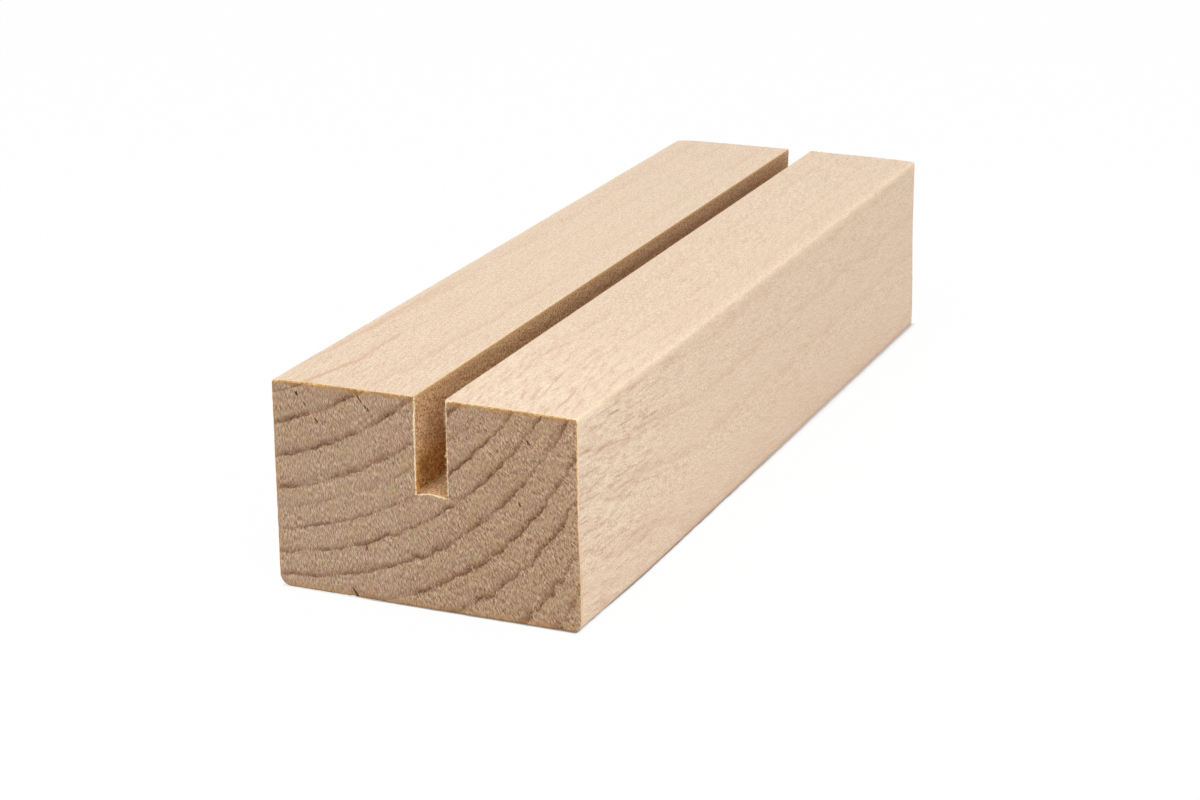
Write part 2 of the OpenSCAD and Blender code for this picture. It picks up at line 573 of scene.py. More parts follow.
class Wiring:
    """Adds nodes to a tree and joins them. Each method gives back an output."""

    def __init__(self, tree):
        self.tree = tree

    def put(self, socket, value):
        if isinstance(value, bpy.types.NodeSocket):
            self.tree.links.new(value, socket)
        else:
            socket.default_value = value

    def add(self, kind, inputs, **settings):
        node = self.tree.nodes.new("ShaderNode" + kind)
        for name, value in settings.items():
            setattr(node, name, value)
        for name, value in inputs.items():
            self.put(node.inputs[name], value)
        return node

    def maths(self, operation, *values):
        return self.add("Math", dict(enumerate(values)), operation=operation).outputs[0]

    def chain(self, operation, result, *others):
        for other in others:
            result = self.maths(operation, result, other)
        return result

    def total(self, *values):
        return self.chain("ADD", *values)

    def times(self, *values):
        return self.chain("MULTIPLY", *values)

    def most(self, *values):
        return self.chain("MAXIMUM", *values)

    def minus(self, first, second):
        return self.maths("SUBTRACT", first, second)

    def divided(self, first, second):
        return self.maths("DIVIDE", first, second)

    def size(self, value):
        return self.maths("ABSOLUTE", value)

    def above(self, value, limit):
        """1 above the limit and 0 under it."""
        return self.maths("GREATER_THAN", value, limit)

    def below(self, value, limit):
        """1 under the limit and 0 above it."""
        return self.maths("LESS_THAN", value, limit)

    def spread(self, value, low, high, to_low=0.0, to_high=1.0, smooth=True):
        """Turns a value between low and high into one between to_low and to_high."""
        inputs = {"Value": value, "From Min": low, "From Max": high}
        inputs.update({"To Min": to_low, "To Max": to_high})
        kind = "SMOOTHSTEP" if smooth else "LINEAR"
        return self.add("MapRange", inputs, interpolation_type=kind).outputs["Result"]

    def near(self, distance, low, high):
        """1 up to the low distance, and 0 from the high one on."""
        return self.spread(distance, low, high, 1.0, 0.0)

    def beyond(self, value, full):
        """How far noise is past its middle on the way to the value that counts as full."""
        return self.spread(value, 0.5, full)

    def between(self, share, start, end):
        """Goes evenly from start to end as a share goes from 0 to 1."""
        return self.spread(share, 0.0, 1.0, start, end, False)

    def vector(self, x, y, z):
        return self.add("CombineXYZ", {"X": x, "Y": y, "Z": z}).outputs[0]

    def parts(self, vector):
        return self.add("SeparateXYZ", {"Vector": vector}).outputs

    def scaled(self, vector, x, y, z):
        return self.add("VectorMath", {0: vector, 1: (x, y, z)}, operation="MULTIPLY").outputs[0]

    def noise(self, place, size=1.0, detail=2.0, roughness=0.5):
        inputs = {"Vector": place, "Scale": 1 / size, "Detail": detail, "Roughness": roughness}
        return self.add("TexNoise", inputs).outputs[0]

    def sway(self, place, size, reach, detail=1.0):
        """Smooth noise from -reach to reach."""
        return self.times(self.minus(self.noise(place, size, detail), 0.5), 2 * reach)

    def cells(self, place):
        return self.add("TexVoronoi", {"Vector": place, "Scale": 1.0}, feature="F1").outputs

    def blend(self, share, first, second, kind="MIX"):
        """Blends two colours, which are outputs or numbers from 0 to 255."""
        node = self.add("Mix", {}, data_type="RGBA", blend_type=kind)
        for index, value in ((0, share), (6, first), (7, second)):
            self.put(node.inputs[index], paint(value) if isinstance(value, tuple) else value)
        return node.outputs[2]

    def seen_directly(self):
        """1 for what the camera, a mirror or clear glass shows, and 0 for light that falls
        on something."""
        path = self.add("LightPath", {}).outputs
        return self.most(*[path[f"Is {kind} Ray"] for kind in ("Camera", "Glossy", "Transmission")])

    def group(self, made, **inputs):
        node = self.add("Group", {}, node_tree=made)
        for name, value in inputs.items():
            self.put(node.inputs[name.replace("_", " ")], value)
        return node.outputs


# The inputs and outputs of groups that are vectors; all others are numbers
VECTORS = ("Place", "Place in mm", "Middle", "Half")
# Distances in the tree: out from its middle, around it and along its fibres
WAYS = ("Out", "Around", "Along")


def new_group(name, inputs, outputs):
    """An empty group with named inputs and outputs."""
    tree = bpy.data.node_groups.new(name, "ShaderNodeTree")
    for way, labels in (("INPUT", inputs), ("OUTPUT", outputs)):
        for label in labels:
            kind = "NodeSocketVector" if label in VECTORS else "NodeSocketFloat"
            tree.interface.new_socket(label, in_out=way, socket_type=kind)
    given = tree.nodes.new("NodeGroupInput").outputs
    result = tree.nodes.new("NodeGroupOutput").inputs
    return tree, Wiring(tree), given, result


# Node groups: the tree's own directions and what is in its wood

def make_directions():
    """Where a point lies in the tree, in mm: on the rings, and out, around and along."""
    outputs = ("Place in mm", "Ring Radius", *WAYS)
    tree, w, given, result = new_group("wood directions", ("Place",), outputs)
    place = w.scaled(given["Place"], 1 / MM, 1 / MM, 1 / MM)
    x, y, z = w.parts(place)
    along = w.minus(y, FRONT)

    def leaned(lean_x, lean_z):
        return w.total(w.times(along, lean_x), x), w.total(w.times(along, lean_z), z)

    def from_pith(side, height):
        across, down = w.minus(side, PITH_X), w.minus(PITH_Z, height)
        radius = w.maths("SQRT", w.total(w.times(across, across), w.times(down, down)))
        return across, down, radius

    side, height = leaned(RING_LEAN_X, RING_LEAN_Z)
    radius = from_pith(side, height)[2]
    u = w.divided(side, RIGHT)
    v = w.divided(w.minus(height, TOP / 2), TOP / 2)
    bends = [w.times(*pair, bend) for pair, bend in zip(((v, v), (u, v), (u, u)), RING_BENDS)]
    swell = w.total(*[w.spread(along, low, high, 0, -rise) for low, high, rise in RING_SWELLS])
    across, down, out = from_pith(*leaned(FIBRE_LEAN_X, FIBRE_LEAN_Z))
    around = w.times(w.maths("ARCTAN2", across, down), AROUND_AT)
    ray_bend = w.sway(w.scaled(place, 1.0, 0.45, 1.0), *RAY_BEND)
    w.put(result["Place in mm"], place)
    w.put(result["Ring Radius"], w.total(radius, swell, *bends))
    w.put(result["Out"], out)
    w.put(result["Around"], w.total(around, ray_bend))
    w.put(result["Along"], along)
    return tree


def make_rings():
    """Growth rings: the dark line that ends each year and the wood that darkens toward it."""
    inputs = ("Place in mm", "Ring Radius", *WAYS)
    tree, w, given, result = new_group("growth rings", inputs, ("Line", "Late Wood"))
    slow = w.scaled(given["Place in mm"], 1.0, 0.3, 1.0)
    along = w.divided(given["Along"], RING_STEP_LENGTH)

    def steps(around, out, reach):
        across, outward = w.divided(given["Around"], around), w.divided(given["Out"], out)
        return w.sway(w.vector(across, along, outward), 1.0, reach)

    shifts = [w.sway(slow, *row) for row in RING_WAVES] + [steps(*row) for row in RING_STEPS]
    radius = w.total(given["Ring Radius"], *shifts)
    # A curve turns the radius into a count of years, so that rings can differ in width
    curve = w.add("FloatCurve", {})
    points = curve.mapping.curves[0].points
    count = len(RING_ENDS) - 1
    reach = RING_ENDS[-1] - RING_ENDS[0]
    for number, end in enumerate(RING_ENDS[1:-1], 1):
        points.new((end - RING_ENDS[0]) / reach, number / count)
    for point in points:
        point.handle_type = "VECTOR"
    curve.mapping.update()
    w.put(curve.inputs["Value"], w.divided(w.minus(radius, RING_ENDS[0]), reach))
    years = w.times(curve.outputs[0], count)
    part = w.minus(years, w.maths("FLOOR", years))
    paler = w.spread(w.size(w.minus(years, FAINT_RING)), 0.25, 0.5, 0.5, 1.0)
    before = w.spread(part, 0.78, 0.975)
    after = w.spread(part, 0.99, 1.0, 1.0, 0.5)
    tail = w.spread(part, 0.0, 0.03, 0.5, 0.0)
    line = w.most(w.times(before, after), tail)
    patches = w.noise(slow, 2.0)
    strength = w.spread(patches, 0.34, 0.58, 0.5, 1.0)
    w.put(result["Line"], w.times(line, strength, paler))
    late = w.times(w.maths("POWER", part, 4.0), w.spread(patches, 0.38, 0.62, 0.2, 1.0))
    w.put(result["Late Wood"], w.times(late, paler))
    return tree


def make_rays():
    """Rays: thin plates of tissue that run out from the middle of the tree. They show as
    pale lines on an end and as short dark dashes on a side."""
    tree, w, given, result = new_group("wood rays", (*WAYS, "Spacing", "Height"), ("Ray",))
    around = w.divided(given["Around"], given["Spacing"])
    along = w.divided(given["Along"], given["Height"])
    cells = w.cells(w.vector(around, along, w.divided(given["Out"], RAY_LENGTH)))
    spine = w.near(cells["Distance"], 0.06, 0.22)
    chance = w.spread(w.parts(cells["Color"])[0], 0.45, 0.95)
    w.put(result["Ray"], w.times(spine, chance))
    return tree


# Sizes around, along and out in mm, detail and roughness of the fibres' noises
FIBRE_NOISES = {
    "Fibre": (0.11, 4.0, 0.65, 2.0, 0.6),
    "Fine": (0.065, 1.2, 0.38, 1.0, 0.6),
    "Streak": (0.42, 2.8, 0.42, 2.0, 0.55),
    "Cloud": (3.0, 16.0, 3.0, 2.0, 0.5),
}


def make_fibres():
    """Fibres and pores: fine specks on an end, drawn out into fine streaks on a side."""
    inputs = ("Place in mm", *WAYS)
    tree, w, given, result = new_group("wood fibres", inputs, (*FIBRE_NOISES, "Pore", "Grit"))

    def stretched(around, along, out):
        sizes = {"Around": around, "Along": along, "Out": out}
        return w.vector(*[w.divided(given[name], size) for name, size in sizes.items()])

    for name, (around, along, out, detail, roughness) in FIBRE_NOISES.items():
        w.put(result[name], w.noise(stretched(around, along, out), 1.0, detail, roughness))
    cells = w.cells(stretched(0.4, 7.0, 0.5))
    w.put(result["Pore"], w.near(cells["Distance"], 0.06, 0.2))
    w.put(result["Grit"], w.noise(given["Place in mm"], 0.16, 2.0, 0.7))
    return tree


def make_torn_edge_glow():
    """The pale band beside the arris of an end, from 0 to 1: frayed fibres, and a painted glow of
    light that comes through the thin arris.
    """
    tree, w, given, result = new_group("torn edge and painted glow", ("Place in mm", "Width"), ("Band",))
    place = given["Place in mm"]
    away = w.add("Attribute", {}, attribute_name="from_arris", attribute_type="GEOMETRY")
    ragged = w.total(w.sway(place, 0.22, 1.3, 2.0), w.sway(place, 1.1, 1.0), 1.0)
    width = w.most(w.times(given["Width"], ragged), 0.01)
    w.put(result["Band"], w.near(w.divided(away.outputs["Fac"], width), 0.5, 1.2))
    return tree


def make_fleck():
    """One dark spindle. Place and Middle give a distance across and along, Half gives half
    its width and half its length, and Lean is how far across it goes for each mm along."""
    inputs = ("Place", "Middle", "Half", "Lean", "Strength")
    tree, w, given, result = new_group("wood fleck", inputs, ("Fleck",))
    ends = {0: given["Place"], 1: given["Middle"]}
    across, along = w.parts(w.add("VectorMath", ends, operation="SUBTRACT").outputs[0])[:2]
    across = w.minus(across, w.times(along, given["Lean"]))
    half_width, half_length = w.parts(given["Half"])[:2]
    wide = w.maths("POWER", w.size(w.divided(across, half_width)), 2.0)
    long = w.maths("POWER", w.size(w.divided(along, half_length)), 4.0)
    w.put(result["Fleck"], w.times(w.near(w.total(wide, long), 0.05, 1.0), given["Strength"]))
    return tree


DIRECTIONS = make_directions()
RINGS = make_rings()
RAYS = make_rays()
FIBRES = make_fibres()
TORN_EDGE_GLOW = make_torn_edge_glow()
FLECK = make_fleck()


class Wood(Wiring):
    """A new wood material with its shader and the tree's directions at each point. Its
    colour is laid on in layers, from the wood itself to what lies over it."""

    def __init__(self, name, roughness, shine):
        self.material = bpy.data.materials.new(name)
        self.material.use_nodes = True
        super().__init__(self.material.node_tree)
        self.shader = self.tree.nodes["Principled BSDF"]
        self.shader.inputs["Roughness"].default_value = roughness
        self.shader.inputs["Specular IOR Level"].default_value = shine
        found = self.group(DIRECTIONS, Place=self.add("TexCoord", {}).outputs["Object"])
        self.place = found["Place in mm"]
        self.ways = {name: found[name] for name in WAYS}
        radius = found["Ring Radius"]
        self.rings = self.group(RINGS, Place_in_mm=self.place, Ring_Radius=radius, **self.ways)
        self.fibres = self.group(FIBRES, Place_in_mm=self.place, **self.ways)

    def rays(self, spacing, height):
        return self.group(RAYS, Spacing=spacing, Height=height, **self.ways)["Ray"]

    def torn_edge_glow(self, width):
        return self.group(TORN_EDGE_GLOW, Place_in_mm=self.place, Width=width)["Band"]

    def ragged(self, distance, size, reach):
        """A distance with a ragged outline."""
        return self.total(distance, self.sway(self.place, size, reach, 2.0))

    def flecks(self, across, along, rows, ragged):
        """The flecks that a list of rows gives, in two directions over a side."""
        place = self.vector(self.ragged(across, 0.8, ragged), along, 0.0)
        mask = 0.0
        for start, start_along, end, end_along, width, strength in rows:
            middle = (start + end) / 2, (start_along + end_along) / 2, 0
            length = end_along - start_along
            half = FLECK_SPREAD * width / 2, FLECK_SPREAD * abs(length) / 2, 1
            inputs = {"Place": place, "Middle": middle, "Half": half, "Lean": (end - start) / length}
            mask = self.most(mask, self.group(FLECK, Strength=strength, **inputs)["Fleck"])
        return mask

    def start(self, mask, dark, pale):
        self.colour = self.blend(mask, dark, pale)

    def layer(self, name, mask, strength, tint):
        """Turns the colour toward tint where the mask is high."""
        self.colour = self.blend(self.times(mask, strength), self.colour, tint)
        self.colour.node.label = name

    def shade(self, name, mask, tint):
        """Multiplies the colour by tint where the mask is high."""
        self.colour = self.blend(mask, self.colour, tint, "MULTIPLY")
        self.colour.node.label = name

    def finish(self, roughness, height, depth):
        """Joins the colour, roughness and a height that is depth mm deep to the shader."""
        self.put(self.shader.inputs["Base Color"], self.colour)
        self.put(self.shader.inputs["Roughness"], roughness)
        bump = self.add("Bump", {"Height": height, "Strength": 1.0, "Distance": depth * MM})
        self.put(self.shader.inputs["Normal"], bump.outputs["Normal"])
        return self.material


def end_grain():
    """The sawn ends: grey-brown open pores, dark ring lines and pale rays."""
    w = Wood("beech end grain", 0.85, 0.25)
    fibre, fine, pores = w.fibres["Fibre"], w.fibres["Fine"], w.fibres["Pore"]
    line = w.rings["Line"]
    w.start(w.spread(fibre, 0.36, 0.64), (116, 88, 66), (198, 167, 136))
    w.layer("pale specks", w.beyond(fine, 0.64), 0.4, (228, 200, 168))
    w.layer("dark specks", w.beyond(fine, 0.36), 0.36, (94, 68, 46))
    # The saw left fine upright marks
    marks = w.noise(w.scaled(w.place, 11.0, 1.0, 2.4), 1.0, 1.0)
    w.layer("pale saw marks", w.beyond(marks, 0.64), 0.5, (230, 202, 172))
    w.layer("dark saw marks", w.beyond(marks, 0.36), 0.44, (100, 72, 52))
    reddish = w.spread(w.noise(w.place, 0.7), 0.42, 0.62)
    w.layer("reddish patches", reddish, 0.3, (168, 122, 102))
    greenish = w.spread(w.noise(w.place, 0.9), 0.48, 0.66)
    w.layer("greenish patches", greenish, 0.32, (170, 148, 104))
    w.layer("clouds", w.spread(w.fibres["Cloud"], 0.35, 0.65), 0.16, (176, 154, 136))
    w.layer("wide rays", w.rays(0.6, 4.5), 0.55, (220, 192, 162))
    w.layer("narrow rays", w.rays(0.33, 3.0), 0.3, (216, 188, 158))
    w.layer("late wood", w.rings["Late Wood"], 0.62, (124, 86, 62))
    # Each ring line comes and goes along its course
    broken = w.spread(w.noise(w.place, 0.2), 0.6, 0.42, 0.4, 1.0)
    broken = w.times(broken, w.spread(w.noise(w.place, 0.9, 1.0), 0.36, 0.56, 0.55, 1.1))
    w.layer("ring lines", w.times(line, broken), 0.85, (94, 56, 34))
    gold = w.times(line, w.spread(w.noise(w.place, 0.45), 0.58, 0.68))
    w.layer("gold spots on them", gold, 0.45, (184, 142, 88))
    w.layer("pores", pores, 0.2, (86, 62, 42))
    x, y, z = w.parts(w.place)
    left_half = w.times(w.spread(x, 0.0, -6.0), w.spread(z, 16.0, 12.0))
    w.layer("paler left half, low down", left_half, 0.025, (255, 240, 222))
    w.shade("browner right half", w.spread(x, -2.0, 9.0), (253, 250, 245))
    w.layer("browned foot and painted foot shade", w.near(w.ragged(z, 0.9, 0.7), 0.1, 0.9), 0.45, (180, 140, 90))
    by_left = w.near(w.ragged(w.minus(x, LEFT), 0.6, 0.4), 0.05, 0.5)
    w.layer("browned left arris", by_left, 0.5, (196, 144, 92))
    in_front = w.below(y, 0.0)
    big_pores = w.times(w.flecks(x, z, END_PORES, 0.05), in_front)
    w.layer("big pores", big_pores, 0.95, (48, 30, 18))
    pale_rays = w.times(w.flecks(x, z, END_RAYS, 0.12), in_front)
    w.layer("pale rays", pale_rays, 0.6, (220, 184, 134))
    under_top = w.spread(w.ragged(z, 0.7, 0.5), TOP - 0.6, TOP - 0.1)
    w.layer("brown under the top", under_top, 0.5, (176, 124, 66))
    add_torn_arris_glow(w, x, z)
    height = w.total(fibre, fine, w.times(line, -0.3), w.times(pores, -0.4))
    return w.finish(w.spread(fibre, 0.3, 0.7, 0.9, 0.8), height, 0.04)


def add_torn_arris_glow(w, x, z):
    """The end's pale torn band at the arris, partly a painted glow of light through it: palest by the
    slot, and wider and weaker on the right.
    """
    patchy = w.spread(w.noise(w.place, 0.4), 0.4, 0.6)
    low = w.blend(patchy, (190, 146, 98), (228, 192, 138))
    high = w.blend(patchy, (196, 148, 90), (240, 206, 136))
    torn = w.blend(w.spread(z, TOP - 0.6, TOP - 0.3), low, high)
    from_slot = w.size(w.minus(x, (SLOT_LEFT + SLOT_RIGHT) / 2))
    torn = w.blend(w.near(from_slot, 2.0, 2.4), torn, (246, 226, 188))
    by_right = w.above(x, RIGHT - 1)
    wider = w.times(w.spread(z, 12.0, 17.0, 0.0, 0.05), by_right)
    width = w.total(w.spread(z, TOP - 0.6, TOP - 0.3, 0.12, 0.19), wider)
    low_right = w.times(w.spread(z, 12.0, 4.0), by_right)
    strength = w.spread(low_right, 0.0, 1.0, 0.8, 0.4)
    # Pale torn fibres, and a painted glow of light that comes through the thin arris
    w.layer("torn arris and painted glow", w.torn_edge_glow(width), strength, torn)


def long_grain():
    """The planed and sanded sides: pale, with faint year bands and small dark flecks."""
    w = Wood("beech long grain", 0.6, 0.35)
    names = ("Fibre", "Fine", "Grit", "Streak")
    fibre, fine, grit, streak = (w.fibres[name] for name in names)
    places = w.parts(w.place)
    x, z = places["X"], places["Z"]
    along = w.ways["Along"]
    on_top = w.above(z, TOP - 0.5)
    on_right = w.times(w.above(x, RIGHT - 0.4), w.below(z, TOP - 0.5))
    # The left side and the underside are as rough all along, and the rest is smoother
    # toward the far end, on the left cheek and low down
    other_sides = w.most(w.below(x, LEFT + 0.3), w.below(z, BOTTOM + 0.05))
    left_cheek = w.times(w.below(x, SLOT_RIGHT), on_top)
    smoother = w.times(w.between(left_cheek, 1.0, 0.5), w.spread(z, 3.0, 11.0, 0.7, 1.0))
    rough = w.times(w.spread(along, 6.0, 30.0, 1.0, 0.25), smoother)
    rough = w.most(rough, w.times(other_sides, 0.65))
    w.start(w.spread(fibre, 0.34, 0.66), (222, 197, 170), (229, 205, 180))
    w.layer("clouds", w.spread(w.fibres["Cloud"], 0.35, 0.65), 0.3, (226, 198, 172))
    w.layer("pale streaks", w.beyond(streak, 0.34), w.times(rough, 0.6), (244, 223, 199))
    w.layer("dark streaks", w.beyond(streak, 0.62), w.times(rough, 0.5), (206, 170, 138))
    darkest = w.spread(streak, 0.59, 0.68)
    w.layer("darkest streaks", darkest, w.times(rough, 0.5), (182, 138, 102))
    w.layer("pale grit", w.spread(grit, 0.46, 0.6), 0.5, (248, 228, 206))
    w.layer("dark grit", w.spread(grit, 0.52, 0.38), 0.5, (192, 158, 128))
    w.layer("fine fibres", w.beyond(fine, 0.34), 0.1, (190, 154, 124))
    # The year bands are fainter toward the far end, and clearer on the other sides
    bands = w.most(w.spread(along, 18.0, 50.0, 1.0, 0.55), w.times(other_sides, 1.5))
    w.layer("late wood", w.rings["Late Wood"], w.times(bands, 0.2), (208, 172, 140))
    w.layer("ring lines", w.rings["Line"], w.times(bands, 0.14), (182, 138, 104))
    right_cheek = w.times(w.near(along, 4.0, 34.0), w.above(x, SLOT_RIGHT))
    w.layer("paler right cheek", w.times(right_cheek, on_top), 0.2, (250, 228, 198))
    # Painted shade: the right side is a little darker than the top, and darker still toward its far
    # end
    w.shade("right side", on_right, (252, 252, 252))
    painted_far_shade = w.times(w.spread(along, 6.0, 60.0), on_right)
    w.shade("painted shade toward its far end", painted_far_shade, (252, 250, 249))
    broken = w.spread(w.noise(w.place, 0.3), 0.35, 0.6, 0.35, 1.0)
    top_flecks = w.times(w.flecks(x, along, TOP_FLECKS, 0.16), on_top, broken)
    w.layer("flecks on the top", top_flecks, 0.75, (204, 150, 102))
    side_flecks = w.times(w.flecks(z, along, SIDE_FLECKS, 0.14), on_right, broken)
    w.layer("flecks on the right side", side_flecks, 0.8, (164, 122, 88))
    add_worn_edges(w, x, z, on_top, on_right)
    height = w.total(fibre, grit, w.times(w.fibres["Pore"], -0.8))
    return w.finish(w.spread(fibre, 0.3, 0.7, 0.66, 0.54), height, 0.012)


def add_worn_edges(w, x, z, on_top, on_right):
    """The edges of the sides: a painted highlight on the upper ones, pale rims and arrises with a
    painted glow, and low down an edge browned by handling by the front end and a painted shade along
    the foot.
    """
    along = w.ways["Along"]
    # Painted highlight: the rounded upper long edges are paler, as where they catch the light
    from_edge = w.total(w.minus(RIGHT, w.size(x)), w.minus(TOP, z))
    painted_edge_highlight = w.near(w.ragged(from_edge, 0.9, 0.5), 0.1, 1.1)
    w.layer("painted highlight on upper edges", painted_edge_highlight, 0.26, (250, 226, 190))
    # The slot's rims are pale fibres, partly a painted glow of light through the thin rims
    walls = (SLOT_LEFT, SLOT_RIGHT - 0.16)
    from_slot = w.maths("MINIMUM", *[w.size(w.minus(x, wall)) for wall in walls])
    by_slot = w.times(w.near(w.ragged(from_slot, 0.3, 0.14), 0.06, 0.22), on_top)
    w.layer("pale slot rims and painted glow", by_slot, 0.4, (236, 198, 132))
    # Pale torn fibres by the ends, partly a painted glow of light through the arris
    w.layer("torn arris and painted glow", w.torn_edge_glow(0.12), 0.5, (244, 216, 162))
    browned = w.times(w.near(w.ragged(along, 0.5, 0.3), 0.05, 0.5), w.spread(z, 12.0, 5.0))
    w.layer("browned front edge", w.times(browned, on_right), 0.5, (212, 162, 114))
    # Painted shade along the right side's foot, close by the floor
    foot = w.times(w.near(w.ragged(z, 0.5, 0.3), 0.1, 0.9), on_right)
    w.layer("browned foot and painted foot shade", foot, 0.4, (196, 152, 116))


def sawn_slot():
    """The slot's walls and floor, left rough by the saw."""
    w = Wood("beech sawn slot", 0.85, 0.2)
    fibre, grit = w.fibres["Fibre"], w.fibres["Grit"]
    z = w.parts(w.place)["Z"]
    along = w.ways["Along"]
    w.start(w.spread(fibre, 0.3, 0.7), (203, 157, 109), (229, 188, 138))
    w.layer("pale grit", w.spread(grit, 0.48, 0.6), 0.7, (255, 224, 182))
    w.layer("dark grit", w.beyond(grit, 0.36), 0.7, (130, 84, 48))
    # Painted shade in the slot: its walls are a little darker, more so low down
    off_floor = w.spread(z, RIDGE_Z, RIDGE_Z + 0.06)
    painted_deep_shade = w.times(w.spread(z, TOP - 3.8, FLOOR + 2.2), off_floor)
    w.shade("painted shade low in the slot", painted_deep_shade, (234, 208, 142))
    # Painted shade low on the walls near the front, against the light the front lamp throws into the
    # slot
    by_front = w.times(w.spread(along, 4.0, 1.2), w.spread(along, 0.4, 1.1))
    painted_shade_low_front = w.times(w.spread(z, TOP - 5.0, TOP - 6.6), by_front, off_floor)
    w.shade("painted shade low at the front", painted_shade_low_front, (190, 178, 148))
    # Painted shade high on the walls by the front, where the front lamp lights them
    painted_shade_high_front = w.times(w.spread(z, TOP - 3.5, TOP - 1.5), w.spread(along, 3.0, 1.0))
    w.shade("painted shade high at the front", painted_shade_high_front, (241, 239, 231))
    speckle = w.noise(w.place, 0.3)
    w.layer("pale speckle", w.beyond(speckle, 0.64), 0.45, (236, 196, 152))
    w.layer("dark speckle", w.beyond(speckle, 0.36), 0.5, (146, 100, 64))
    w.layer("ring lines", w.rings["Line"], 0.25, (150, 106, 72))
    # Painted shade: the slot is darker toward its far end
    w.shade("painted shade toward the far end", w.spread(along, 5.0, 45.0), (241, 238, 243))
    # Pale torn fibres at the slot's ends, partly a painted glow of light through the thin arris
    w.layer("torn arris and painted glow", w.torn_edge_glow(0.1), 0.85, (252, 232, 192))
    # A pale band below the rim, partly a painted glow of light through the thin rim
    glow_below_rim = w.near(w.ragged(w.minus(TOP, z), 0.3, 0.14), 0.06, 0.24)
    w.layer("pale band and painted glow below the rim", glow_below_rim, 0.45, (238, 198, 132))
    scratches = w.noise(w.scaled(w.place, 1.0, 2.2, 0.25), 1.0, 3.0)
    height = w.total(fibre, w.times(grit, 2.0), scratches)
    return w.finish(w.spread(fibre, 0.3, 0.7, 0.9, 0.8), height, 0.04)


def edge_fibre():
    """The pale fuzz that the saw leaves on an arris."""
    w = Wood("beech edge fibre", 0.8, 0.25)
    grit = w.fibres["Grit"]
    w.start(w.spread(grit, 0.35, 0.65), (206, 164, 106), (244, 220, 174))
    return w.finish(w.spread(grit, 0.3, 0.7, 0.85, 0.75), w.fibres["Fine"], 0.005)


# Fuzz on the arrises. Each row is a run of fibres in mm: where it starts and ends, the
# direction that its fibres point in, how many there are, and their greatest length.
FUZZ_RUNS = [
    ((-14.0, -49.98, 20.0), (-0.8, -49.98, 20.04), (0.1, -0.5, 0.8), 70, 0.22),
    ((2.6, -49.98, 20.04), (14.0, -49.98, 19.88), (0.1, -0.5, 0.8), 80, 0.26),
    ((15.1, -49.98, 0.8), (14.92, -49.98, 19.4), (0.7, -0.6, 0.1), 34, 0.18),
    ((-0.74, -49.98, 11.0), (-0.68, -49.98, 19.8), (0.8, -0.4, 0.1), 60, 0.22),
    ((2.41, -49.98, 11.0), (2.29, -49.98, 19.8), (-0.8, -0.4, 0.1), 60, 0.22),
    ((-0.5, -49.98, 10.9), (2.3, -49.98, 10.9), (0.0, -0.5, 0.7), 26, 0.2),
    ((-14.0, -49.96, 0.1), (14.4, -49.96, 0.1), (0.1, -0.8, 0.1), 40, 0.2),
    ((-0.64, -49.0, 20.07), (-0.64, 49.5, 20.07), (0.6, 0.3, 0.4), 150, 0.18),
    ((2.26, -49.0, 20.12), (2.26, 49.5, 20.12), (-0.6, 0.3, 0.4), 150, 0.18),
    ((-14.0, 49.98, 20.0), (-0.8, 49.98, 20.04), (0.1, 0.5, 0.8), 60, 0.24),
    ((2.6, 49.98, 20.04), (14.0, 49.98, 19.88), (0.1, 0.5, 0.8), 60, 0.24),
    ((-0.68, 49.98, 11.0), (-0.68, 49.98, 19.8), (0.8, 0.4, 0.1), 40, 0.24),
    ((2.43, 49.98, 11.0), (2.43, 49.98, 19.8), (-0.8, 0.4, 0.1), 40, 0.24),
]
# Larger splinters: place, direction, length and thickness in mm
SPLINTERS = [
    ((2.44, -49.95, 14.95), (-0.9, -0.3, 0.25), 0.26, 0.11),
    ((2.44, -49.95, 12.3), (-0.8, -0.3, -0.4), 0.16, 0.06),
    ((-11.2, -49.9, 19.98), (0.5, -0.1, 0.9), 0.36, 0.24),
    ((-8.15, -49.9, 19.99), (0.4, -0.1, 0.9), 0.36, 0.22),
    ((-7.3, -49.95, 0.35), (0.2, -0.9, 0.5), 0.22, 0.08),
    ((-7.7, -49.95, 0.3), (-0.3, -0.9, 0.3), 0.2, 0.07),
]


# Shape of a fibre: its radius halfway as a share of its thickness, its tip's bend as a
# multiple of its middle's, and a direction that no fibre points in
MIDDLE_RADIUS = 0.36
TIP_BEND = 3
NO_FIBRES_WAY = (0.3, 0.2, 1.0)
# Random parts of the fuzz: spread of the direction, shortest fibre as a share of the
# longest, and the rest in mm: bend, thickness, how deep a root goes, and the lowest point
FUZZ_SEED = 11
AIM_SPREAD = 0.6
SHORTEST = 0.3
FIBRE_BEND = 0.02
THINNEST, THICKEST = 0.025, 0.05
ROOT_DEPTH = 0.05
LOWEST = 0.01


def add_fibre(root, aim, length, thickness, bend, places, faces):
    """Adds one closed tapered sliver with three sides and a bend in the middle."""
    aim = Vector(aim).normalized()
    side = aim.cross(Vector(NO_FIBRES_WAY)).normalized()
    rise = aim.cross(side)
    first = len(places)
    middle = Vector(root) + aim * length / 2 + bend
    tip = Vector(root) + aim * length + bend * TIP_BEND
    for centre, size in ((Vector(root), thickness / 2), (middle, thickness * MIDDLE_RADIUS)):
        for turn in range(3):
            angle = turn * math.tau / 3
            places.append(centre + (side * math.cos(angle) + rise * math.sin(angle)) * size)
    places.append(tip)
    faces.append([first + 2, first + 1, first])
    for turn in range(3):
        after = (turn + 1) % 3
        faces.append([first + turn, first + after, first + 3 + after, first + 3 + turn])
        faces.append([first + 3 + turn, first + 3 + after, first + 6])


